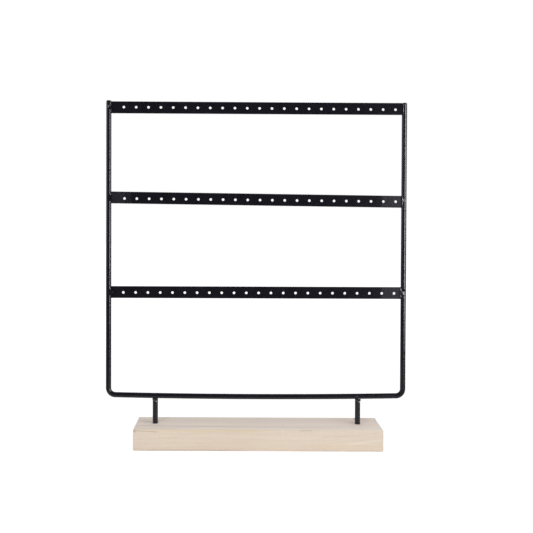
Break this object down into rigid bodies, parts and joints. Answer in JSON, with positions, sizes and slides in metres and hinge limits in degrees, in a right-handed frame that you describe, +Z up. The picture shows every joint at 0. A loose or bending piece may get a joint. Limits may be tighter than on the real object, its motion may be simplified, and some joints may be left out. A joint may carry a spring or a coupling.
{
  "type": "earring display stand",
  "caption": "Upright frame of bent black rod with flat perforated bars for hanging earrings, on a pale wood block.",
  "frame": {"origin": "on the surface that the block stands on, midway between the uprights and at the middle of the block's depth", "axes": "+X along the bars to the viewer's right, +Y from the front to the back, +Z up"},
  "size_m": [0.3078, 0.05, 0.3527],
  "materials": {
    "pale_wood": "whitewashed, matt",
    "black_paint": "satin",
    "zinc_steel": "zinc plated"
  },
  "bodies": {
    "root": {"base_block": "pale_wood", "frame_rod": "black_paint", "bar_top": "black_paint", "bar_middle": "black_paint", "bar_lower": "black_paint", "leg_left": "black_paint", "leg_right": "black_paint", "bar_welds": "black_paint", "leg_welds": "black_paint", "screw_left": "zinc_steel", "screw_right": "zinc_steel"}
  },
  "joints": []
}
